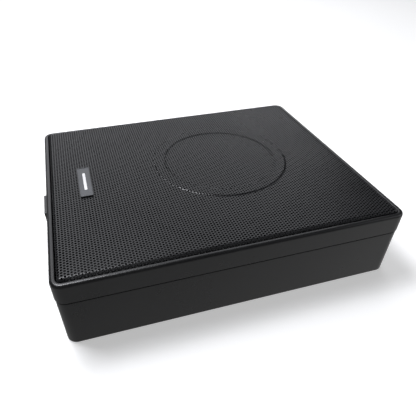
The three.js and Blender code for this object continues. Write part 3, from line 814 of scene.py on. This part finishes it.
class SUBWOOFER_OT_woofer(bpy.types.Operator):
    """Cone with pressed rings, dust cap, half-roll surround and corrugated spider"""

    bl_idname = "subwoofer.woofer"
    bl_label = "Woofer"

    def execute(self, context):
        woofer = settings(context, "sub_woofer")
        pulp = material("Cone paper", woofer.cone, 0.62, grain=1.8, bump=0.35, depth=0.00006, dust=0.2)
        neck, edge = radius_of("voice_coil_former") + 0.5 * MM, radius_of("cone") - 0.3 * MM
        low, high = CONE_LOW[2] + 1.1 * MM, CONE_HIGH[2]
        t = np.linspace(0, 1, 40)
        rings = 0.22 * MM * np.sin(2 * math.pi * 5 * t) * (t > 0.45) * (t < 0.95)
        rise = low + (high - low) * (1.25 * t - 0.25 * t * t) + rings
        line = np.column_stack([neck + (edge - neck) * t, rise])
        under = line[::-1] + np.array([0.2 * MM, -0.9 * MM])
        cone = on_axis(np.concatenate([line, under, line[:1]]))
        piece("woofer_cone", *cone, pulp, body=MOVING, slot="cone", replaces=["cone"])
        cap_low, cap_high = box_of("dust_cap")
        radius, base, thick = radius_of("dust_cap"), cap_low[2] + 0.3 * MM, 0.8 * MM
        t = np.linspace(0, 1, 24)
        outside = np.column_stack([radius * t, base + (cap_high[2] - base) * (1 - t * t)])
        inside = np.column_stack([(radius - thick) * t, base + (cap_high[2] - base - thick) * (1 - t * t)])
        cap = on_axis(np.concatenate([outside, inside[::-1]]))
        piece("woofer_dust_cap", *cap, pulp, body=MOVING, slot="cone", replaces=["dust_cap"])
        self.surround(woofer, edge)
        self.spider()
        return {"FINISHED"}

    def surround(self, woofer, cone_edge):
        """Flat inner lip, half ellipse, flat outer lip, and the same again one thickness below."""
        base = box_of("surround")[0][2]
        lip, outer, thick = cone_edge - 2.4 * MM, radius_of("surround"), 0.9 * MM
        width, height = woofer.roll_width, woofer.roll_height
        centre = cone_edge + 2.6 * MM + width
        turn = np.radians(np.linspace(180, 0, 25))
        above = np.column_stack([centre + width * np.cos(turn), base + thick + height * np.sin(turn)])
        below = np.column_stack([centre + (width - thick) * np.cos(turn), base + height * np.sin(turn)])
        profile = [(lip, base), (lip, base + thick), *above, (outer, base + thick), (outer, base),
                   *below[::-1], (lip, base)]
        made = piece("woofer_surround", *on_axis(profile), rubber(), body=None, slot="surround",
                     replaces=["surround"])
        radial_share(made, centre - width, centre + width)

    def spider(self):
        """Sine waves along the radius, flat at both ends, one thickness deep."""
        low, high = box_of("spider")
        inner, outer = radius_of("voice_coil_former") + 0.6 * MM, radius_of("spider")
        t = np.linspace(0, 1, 60)
        calm = np.clip(np.minimum(7 * t, 7 * (1 - t)), 0, 1)
        height = (low[2] + high[2]) / 2 + 1.2 * MM * calm * np.sin(2 * math.pi * 5 * t)
        above = np.column_stack([inner + (outer - inner) * t, height + 0.25 * MM])
        below = above[::-1] - np.array([0, 0.5 * MM])
        tan = (0.42, 0.27, 0.10)
        cloth = material("Spider cloth", tan, 0.85, grain=1.2, bump=0.5, depth=0.0001, dust=0.0)
        made = piece("woofer_spider", *on_axis([*above, *below, above[0]]), cloth, body=None, slot="spider",
                     replaces=["spider"])
        radial_share(made, inner + 2 * MM, outer - 4 * MM)


# --- Screws ---

def cross_screw(head, dome, shank, length, place, direction):
    """Domed head with a cross recess over a plain shank.

    The head's height at radius r is dome times (1 - (r / head) squared), less the depth of the
    cross wherever the point lies in one of its two arms; the shank is a straight tube below it.
    """
    steps = 48
    ring = np.linspace(0, 1, 15)
    angle = np.linspace(0, 2 * math.pi, steps, endpoint=False)
    x, y = head * ring[:, None] * np.cos(angle), head * ring[:, None] * np.sin(angle)
    narrow, long = 0.15 * head, 0.62 * head
    soft = 0.06 * head

    def within(place, reach):
        return np.clip((reach - np.abs(place)) / soft + 0.5, 0, 1)

    def arm(across, along):
        return within(across, narrow) * within(along, long)

    depth = 0.75 * dome * np.maximum(arm(x, y), arm(y, x))
    top = 0.45 * dome + 0.55 * dome * (1 - ring[:, None] ** 2) + 0.1 * dome - depth
    rim = [(head, 0.1 * dome), (head * 0.97, 0), (shank, 0), (shank, -length + shank), (0, -length)]
    below = turned(rim, steps)[0]
    points = np.concatenate([np.stack([x, y, top], axis=-1), below])
    faces = grid_faces(len(points), steps)
    turned_points = {
        "up": points,
        "down": points * np.array([1, -1, -1]),
        "left": np.stack([-points[..., 2], points[..., 1], points[..., 0]], axis=-1),
    }[direction]
    return turned_points + np.asarray(place), faces


class SUBWOOFER_OT_screws(bpy.types.Operator):
    """Cross-recess screws of the case, the woofer and the control panel"""

    bl_idname = "subwoofer.screws"
    bl_label = "Screws"

    def execute(self, context):
        black = (0.05, 0.05, 0.052)
        steel = material("Blackened screws", black, 0.36, metallic=0.9, grain=0.5, bump=0.08, dust=0.1)
        families = {
            "case": (3.9, 1.5, 1.8, "down", lambda low, high: low[2] + 1.8 * MM),
            "driver": (3.4, 1.7, 1.5, "up", lambda low, high: high[2] - 2.0 * MM),
            "panel": (2.9, 1.4, 1.2, "left", lambda low, high: PANEL_LOW[0] - 0.02 * MM),
        }
        for family, (head, dome, shank, direction, seat) in families.items():
            shapes, axis = [], 0 if direction == "left" else 2
            for node in screw_nodes(family):
                low, high = box_of(node)
                place, length = middle_of(node), high[axis] - low[axis] - 2 * MM
                place[axis] = seat(low, high)
                shapes.append(cross_screw(head * MM, dome * MM, shank * MM, length, place, direction))
            piece(f"{family}_screws", *joined(shapes), steel, slot="screws", replaces=screw_nodes(family))
        return {"FINISHED"}


# --- Control panel ---

SOCKETS = {                         # wall and depth of the mouth, columns, rows and width of its pins
    "power_connector": (2.0, 11, 5, 2, 1.6),
    "speaker_level_socket": (1.6, 11, 4, 1, 1.4),
    "remote_jack": (1.6, 11, 4, 1, 0.9),
}
KNOB_NODES = ("gain", "lowpass", "boost")
SWITCH_NODES = ("phase_switch", "mode_switch")
JACK_NODES = {"rca_jack_left": (0.75, 0.75, 0.73), "rca_jack_right": (0.45, 0.02, 0.02)}


def panel_holes():
    """Outlines of the holes in the panel: each is the piece that goes through it, with clearance."""
    room = CLEARANCE
    holes = []
    for node in (*SOCKETS, "fuse_holder"):
        low, high = box_of(node)
        holes.append(rectangle(low[1:] - room, high[1:] + room, 0.8 * MM, 4))
    for node in JACK_NODES:
        holes.append(circle(middle_of(node)[1:], radius_of(node, 1) + room, 40))
    for name in KNOB_NODES:
        holes.append(circle(middle_of(f"{name}_knob")[1:], 3 * MM, 32))
    for name in SWITCH_NODES:
        low, high = box_of(f"{name}_slider")
        travel = np.array([4 * MM, 0])
        holes.append(rectangle(low[1:] - 0.6 * MM, high[1:] + travel + 0.6 * MM, 0.4 * MM, 3))
    holes.append(circle(middle_of("power_lamp")[1:], radius_of("power_lamp", 1) + room, 24))
    holes += [circle(middle_of(node)[1:], 1.6 * MM, 20) for node in screw_nodes("panel")]
    return holes


def standing(node):
    """Place of a round part on the panel's face, its radius, and how far its tip and root stand out."""
    low, high = box_of(node)
    place = np.array([PANEL_LOW[0], *middle_of(node)[1:]])
    return place, radius_of(node, 1), PANEL_LOW[0] - low[0], PANEL_LOW[0] - high[0]


def socket_shape(low, high, wall, depth):
    """Rounded box with a mouth in its -X end: outlines from the back, round the edge, to the bottom."""
    edge, front = 0.3 * MM, low[0]
    outer = rectangle(low[1:], high[1:], 0.8 * MM)
    inner = rectangle(low[1:] + wall, high[1:] - wall, 0.5 * MM)
    eased = rectangle(low[1:] + edge, high[1:] - edge, 0.6 * MM)
    opened = rectangle(low[1:] + wall - edge, high[1:] - wall + edge, 0.6 * MM)
    rows = [(outer, high[0]), (outer, front + edge), (eased, front), (opened, front), (inner, front + edge),
            (inner, front + depth)]
    loops = np.array([np.column_stack([np.full(len(line), x), line]) for line, x in rows])
    return capped(loops, [])


def pins(low, high, columns, rows, width, start, end):
    """Rows of square contact pins standing in a socket, evenly spread over its mouth."""
    ys = low[1] + (high[1] - low[1]) * (np.arange(columns) + 1) / (columns + 1)
    zs = low[2] + (high[2] - low[2]) * (np.arange(rows) + 1) / (rows + 1)
    half = width / 2
    return joined([slab(rectangle((y - half, z - half), (y + half, z + half)), [], start, end)
                   for y in ys for z in zs])


class SUBWOOFER_OT_panel(bpy.types.Operator):
    """Control panel plate with its sockets, fuse, phono jacks and lamp"""

    bl_idname = "subwoofer.panel"
    bl_label = "Control Panel"

    def execute(self, context):
        gold = material("Gold plating", settings(context, "sub_trim").plating, 0.24, metallic=1.0, grain=0.5,
                        bump=0.05, dust=0.05)
        dark = (0.020, 0.0205, 0.0215)
        paint = material("Panel paint", dark, 0.36, grain=0.7, bump=0.10, dust=0.15)
        outer = rectangle(PANEL_LOW[1:], PANEL_HIGH[1:], 2.5 * MM, 8)
        plate = slab(outer, panel_holes(), PANEL_LOW[0], PANEL_HIGH[0])
        soften(piece("panel_plate", *plate, paint, slot="panel", replaces=["control_panel"]), 0.25 * MM)
        for node, (wall, depth, columns, rows, width) in SOCKETS.items():
            low, high = box_of(node)
            shell = socket_shape(low, high, wall * MM, depth * MM)
            piece(f"{node}_shell", *shell, moulded(context), slot="socket_plastic", replaces=[node])
            contacts = pins(low + wall * MM, high - wall * MM, columns, rows, width * MM, low[0] + 3 * MM,
                            low[0] + (depth + 0.5) * MM)
            soften(piece(f"{node}_pins", *contacts, bare_steel(context), slot="steel"), 0.2 * MM)
        self.fuse(context)
        for node, tint in JACK_NODES.items():
            self.jack(node, gold, tint)
        self.lamp()
        return {"FINISHED"}

    def fuse(self, context):
        """Moulded holder with a slot, and a blade fuse with a stepped coloured body standing in it."""
        low, high = box_of("fuse_holder")
        body_low, body_high = box_of("fuse")
        room = 0.6 * MM
        slot = rectangle(body_low[1:] - room, body_high[1:] + room, 0.4 * MM, 3)
        holder = slab(rectangle(low[1:], high[1:], 1.0 * MM, 5), [slot], low[0], high[0])
        soften(piece("fuse_holder_shell", *holder, moulded(context), slot="socket_plastic",
                     replaces=["fuse_holder"]), 0.25 * MM)
        amber = material("Fuse body", (0.80, 0.22, 0.02), 0.22, grain=0.4, bump=0.03, dust=0.05, coat=0.3)
        front, inset = body_low[0], np.array([1.0, 0.5]) * MM
        grip = slab(rectangle(body_low[1:], body_high[1:], 0.6 * MM, 4), [], front, front + 3.2 * MM)
        neck = rectangle(body_low[1:] + inset, body_high[1:] - inset, 0.3 * MM, 3)
        shape = joined([grip, slab(neck, [], front + 3.1 * MM, body_high[0])])
        soften(piece("fuse_body", *shape, amber, slot="fuse", replaces=["fuse"]), 0.25 * MM)

    def jack(self, node, gold, tint):
        """Barrel with a rolled front edge, and a coloured insulator with the centre hole inside it."""
        place, radius, tip, root = standing(node)
        bore, edge = radius - 1.0 * MM, 0.5 * MM
        rolled = arc((radius - edge, tip - edge), edge, 0, 180, 6)
        profile = [(bore, root), (radius, root), (radius, 0.0), *rolled, (bore, tip - 1.5 * MM), (bore, root)]
        barrel = turned_on_panel(profile, 48, place)
        piece(f"{node}_barrel", *barrel, gold, slot="jack", replaces=[node])
        outer, hole, face, dip = radius - 1.15 * MM, 1.5 * MM, tip - 1.7 * MM, tip - 2.0 * MM
        core = [(0, root), (outer, root), (outer, dip), (radius - 1.5 * MM, face), (1.7 * MM, face),
                (hole, dip), (hole, tip - 7 * MM), (0, tip - 7 * MM)]
        ring = material(f"Insulator {node}", tint, 0.4, grain=0.5, bump=0.05, dust=0.05)
        piece(f"{node}_insulator", *turned_on_panel(core, 40, place), ring, slot="jack")

    def lamp(self):
        """Dome on a straight stem."""
        place, radius, _, root = standing("power_lamp")
        profile = [(0, root), (radius, root), *arc((0, 0.2 * MM), radius, 0, 90, 8)]
        glow = material("Lamp lens", (0.04, 0.16, 0.62), 0.15, grain=0.3, bump=0.02, dust=0.02, coat=0.6)
        lens = turned_on_panel(profile, 32, place)
        piece("power_lamp_lens", *lens, glow, slot="lamp", replaces=["power_lamp"])


class SUBWOOFER_OT_controls(bpy.types.Operator):
    """Knurled knobs with a pointer line, and ridged switch sliders, each on its own moving body"""

    bl_idname = "subwoofer.controls"
    bl_label = "Controls"

    def execute(self, context):
        plastic = moulded(context)
        white = material("Pointer paint", (0.75, 0.75, 0.74), 0.5, grain=0.5, bump=0.05, dust=0.05)
        for name in KNOB_NODES:
            self.knob(name, plastic, white)
        self.marks(white)
        grey = material("Grey moulding", (0.16, 0.16, 0.165), 0.5, grain=0.8, bump=0.12, dust=0.15)
        for name in SWITCH_NODES:
            self.slider(name, grey)
        return {"FINISHED"}

    def knob(self, name, plastic, white):
        """Turned profile whose rim radius swings with the angle by a fine cosine, as a knurl."""
        place, radius, tip, root = standing(f"{name}_knob")
        stem, edge, dip = 2.7 * MM, 0.8 * MM, 0.4 * MM
        front = arc((radius - edge, tip - edge), edge, 0, 90, 4)
        profile = np.array([(0, root), (stem, root), (stem, dip), (radius - 0.3 * MM, dip), (radius, edge),
                            *front, (radius - 1.6 * MM, tip), (radius - 2.0 * MM, tip - dip), (0, tip - dip)])
        segments, teeth = 120, 20
        angle = np.linspace(0, 2 * math.pi, segments, endpoint=False)
        knurled = (profile[:, 0] > radius - 0.9 * MM) & (profile[:, 1] > 0.3 * MM)
        share = np.where(knurled[:, None], 1 - 0.035 * (1 - np.cos(teeth * angle)), 1.0)
        cap, body = turned_on_panel(profile, segments, place, share), f"{name}_control"
        piece(f"{name}_knob_cap", *cap, plastic, body=body, slot="knob", replaces=[f"{name}_knob"], sharp=50)
        half, near, far = 0.35 * MM, 0.6 * MM, 2.5 * MM
        line = rectangle(place[1:] + (-half, near), place[1:] + (half, far), 0.2 * MM)
        pointer = slab(line, [], place[0] - tip + 0.3 * MM, place[0] - tip + 0.5 * MM)
        piece(f"{name}_knob_pointer", *pointer, white, body=body, slot="knob")

    def marks(self, white):
        """Printed scale round each knob: short bars at equal angles, 140 degrees to each side of upright."""
        near, far, half = 5.3 * MM, 6.3 * MM, 0.14 * MM
        reach = np.array([near, far, far, near])[:, None]
        width = np.array([-half, -half, half, half])[:, None]
        bars = []
        for name in KNOB_NODES:
            for angle in np.radians(np.linspace(-140, 140, 9)):
                out = np.array([math.sin(angle), math.cos(angle)])
                side = np.array([math.cos(angle), -math.sin(angle)])
                outline = reach * out + width * side + middle_of(f"{name}_knob")[1:]
                bars.append(slab(outline, [], PANEL_LOW[0] - 0.04 * MM, PANEL_LOW[0] + 0.1 * MM))
        piece("knob_scales", *joined(bars), white, slot="panel")

    def slider(self, name, grey):
        """Block with three grip ridges: its front face rises and falls three times along Y."""
        node = f"{name}_slider"
        low, high = box_of(node)
        ridge, ridges, steps = 0.35 * MM, 3, 25
        y = np.linspace(low[1], high[1], steps)
        wave = np.cos(2 * math.pi * ridges * (y - low[1]) / (high[1] - low[1]))
        front = low[0] + ridge * (0.5 - 0.5 * wave)
        outline = np.concatenate([np.column_stack([front, y]), [(high[0], high[1]), (high[0], low[1])]])
        block, body = slab(outline, [], low[2], high[2], axis=2), name.replace("_switch", "_selector")
        grip = piece(f"{name}_grip", *block, grey, body=body, slot="knob", replaces=[node])
        soften(grip, 0.15 * MM, angle=60)


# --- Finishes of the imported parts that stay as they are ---

INNER_FINISHES = {                  # name, colour, roughness, metal, size of the grain, bump
    "basket": ("Basket paint", (0.018, 0.018, 0.019), 0.42, 0.2, 0.9, 0.15),
    "ferrite": ("Ferrite", (0.035, 0.035, 0.037), 0.65, 0.0, 1.6, 0.4),
    "former": ("Coil former", (0.32, 0.19, 0.05), 0.4, 0.0, 0.5, 0.05),
    "board": ("Circuit board", (0.015, 0.10, 0.035), 0.35, 0.0, 0.7, 0.12),
    "copper": ("Enamelled copper", (0.60, 0.20, 0.07), 0.3, 0.9, 0.4, 0.2),
    "heatsink": ("Extruded aluminium", (0.62, 0.62, 0.63), 0.36, 1.0, 0.7, 0.12),
    "capacitor": ("Capacitor sleeve", (0.012, 0.02, 0.06), 0.25, 0.0, 0.5, 0.03),
    "lead_positive": ("Red insulation", (0.42, 0.02, 0.02), 0.45, 0.0, 0.6, 0.08),
    "lead_negative": ("Black insulation", (0.015, 0.015, 0.016), 0.45, 0.0, 0.6, 0.08),
}
INNER_EXTRAS = {
    "ferrite": {"depth": 0.00008},
    "former": {"dust": 0.0},
    "board": {"second": (0.02, 0.16, 0.06)},
}


class SUBWOOFER_OT_inner_parts(bpy.types.Operator):
    """Finishes of the woofer's metalwork and of the amplifier's parts"""

    bl_idname = "subwoofer.inner_parts"
    bl_label = "Inner Parts"

    def execute(self, context):
        finishes = {"seal": rubber(), "steel": bare_steel(context), "socket_plastic": moulded(context)}
        for slot, values in INNER_FINISHES.items():
            finishes[slot] = material(*values, **INNER_EXTRAS.get(slot, {}))
        for row in frame["record"]["subparts"]:
            node = frame["nodes"][row["node"]]
            if node.hide_render:
                continue
            if row["material_slot"] not in finishes:
                raise RuntimeError(f"{row['node']} has no finish")
            node.data.materials.clear()
            node.data.materials.append(finishes[row["material_slot"]])
        return {"FINISHED"}


# --- Stage ---

LIGHTS = {                          # place, target and size of each lamp, metres
    "key": ((0.16, 1.5, 1.15), (0, 0, 0.05), (2.42, 1.5)),
    "overhead": ((-0.45, 0.35, 1.3), (-0.1, 0, 0.05), (0.6, 0.5)),
    "fill": ((1.3, -0.6, 0.8), (0.1, 0, 0.04), (0.8, 0.8)),
}
LIGHT_COLOUR = (0.95, 0.96, 1.0)
CAMERA_PLACE = (-0.1227, -0.3805, 0.3192)
CAMERA_SHIFT = (0.0365, 0.0485)
FLOOR_HALF = 6.0


def soft_light(name, place, target, size, power):
    """Rectangular lamp at a place, turned towards its target."""
    lamp = bpy.data.lights.new(name, "AREA")
    lamp.shape = "RECTANGLE"
    lamp.size, lamp.size_y = size
    lamp.energy = power
    lamp.color = LIGHT_COLOUR
    made = bpy.data.objects.new(name, lamp)
    bpy.context.scene.collection.objects.link(made)
    made.location = place
    made.rotation_euler = (Vector(target) - Vector(place)).to_track_quat("-Z", "Y").to_euler()


def pale_floor(stage):
    """Matt floor whose own mirror image in glossy pieces is a calm sheet, a little brighter towards +X."""
    made = bpy.data.materials.new("Pale floor")
    made.use_nodes = True
    tree = made.node_tree
    shader = tree.nodes["Principled BSDF"]
    plain = {"Base Color": (*stage.floor, 1), "Roughness": 0.8, "Emission Color": (1, 1, 1, 1),
             "Emission Strength": stage.floor_glow}
    for label, value in plain.items():
        shader.inputs[label].default_value = value
    places = add_node(tree, "TexCoord", {})
    parts = add_node(tree, "SeparateXYZ", {"Vector": places.outputs["Object"]})
    level = add_node(tree, "MapRange", {
        "Value": parts.outputs["X"], "From Min": -0.3, "From Max": 0.3,
        "To Min": 0.6 * stage.mirrored, "To Max": 1.25 * stage.mirrored})
    sheet = add_node(tree, "Emission", {"Strength": level.outputs["Result"]})
    glossy = add_node(tree, "LightPath", {}).outputs["Is Glossy Ray"]
    chosen = add_node(tree, "MixShader", {0: glossy, 1: shader.outputs["BSDF"], 2: sheet.outputs["Emission"]})
    tree.links.new(chosen.outputs["Shader"], tree.nodes["Material Output"].inputs["Surface"])
    return made


def studio_world(stage):
    """Even white surroundings, dim as a light and brighter where the camera sees them."""
    made = bpy.data.worlds.new("Studio")
    made.use_nodes = True
    tree = made.node_tree
    background = tree.nodes["Background"].inputs
    background["Color"].default_value = (1, 1, 1, 1)
    seen = add_node(tree, "LightPath", {}).outputs["Is Camera Ray"]
    tree.links.new(math_node(tree, "MULTIPLY_ADD", seen, stage.backdrop, stage.world), background["Strength"])
    return made


class SUBWOOFER_OT_stage(bpy.types.Operator):
    """Pale floor, soft lights and the camera"""

    bl_idname = "subwoofer.stage"
    bl_label = "Stage"

    def execute(self, context):
        stage = settings(context, "sub_stage")
        mesh = bpy.data.meshes.new("floor")
        corners = rectangle((-FLOOR_HALF, -FLOOR_HALF), (FLOOR_HALF, FLOOR_HALF))
        mesh.from_pydata([(x, y, 0) for x, y in corners], [], [(0, 1, 2, 3)])
        mesh.materials.append(pale_floor(stage))
        floor = bpy.data.objects.new("floor", mesh)
        context.scene.collection.objects.link(floor)
        for (name, spot), power in zip(LIGHTS.items(), (stage.key_power, stage.top_power, stage.fill_power)):
            soft_light(name, *spot, power)
        context.scene.view_settings.view_transform = "Standard"
        context.scene.world = studio_world(stage)
        data = bpy.data.cameras.new("camera")
        data.sensor_width = 36
        data.lens = stage.lens
        data.shift_x, data.shift_y = CAMERA_SHIFT
        camera = bpy.data.objects.new("camera", data)
        context.scene.collection.objects.link(camera)
        camera.location = CAMERA_PLACE
        camera.rotation_euler = (math.pi / 2 - stage.elevation, 0, stage.azimuth)
        context.scene.camera = camera
        return {"FINISHED"}


STEPS = (
    SUBWOOFER_OT_stage,
    SUBWOOFER_OT_lower_case,
    SUBWOOFER_OT_upper_frame,
    SUBWOOFER_OT_grille,
    SUBWOOFER_OT_badge,
    SUBWOOFER_OT_woofer,
    SUBWOOFER_OT_screws,
    SUBWOOFER_OT_panel,
    SUBWOOFER_OT_controls,
    SUBWOOFER_OT_inner_parts,
)


class SUBWOOFER_PT_panel(bpy.types.Panel):
    bl_idname = "SUBWOOFER_PT_panel"
    bl_label = "Subwoofer"
    bl_space_type = "VIEW_3D"
    bl_region_type = "UI"
    bl_category = "Subwoofer"

    def draw(self, context):
        column = self.layout.column()
        for step in STEPS:
            column.operator(step.bl_idname)
        for name, group in SETTINGS.items():
            box = self.layout.box()
            for label in group.__annotations__:
                box.prop(getattr(context.scene, name), label)


def register():
    for name, group in SETTINGS.items():
        bpy.utils.register_class(group)
        setattr(bpy.types.Scene, name, bpy.props.PointerProperty(type=group))
    for step in (*STEPS, SUBWOOFER_PT_panel):
        bpy.utils.register_class(step)


def unregister():
    for step in reversed((*STEPS, SUBWOOFER_PT_panel)):
        bpy.utils.unregister_class(step)
    for name, group in SETTINGS.items():
        delattr(bpy.types.Scene, name)
        bpy.utils.unregister_class(group)


def main():
    register()
    for step in STEPS:
        family, action = step.bl_idname.split(".")
        getattr(getattr(bpy.ops, family), action)()
    bpy.context.view_layer.update()


if __name__ == "__main__":
    main()
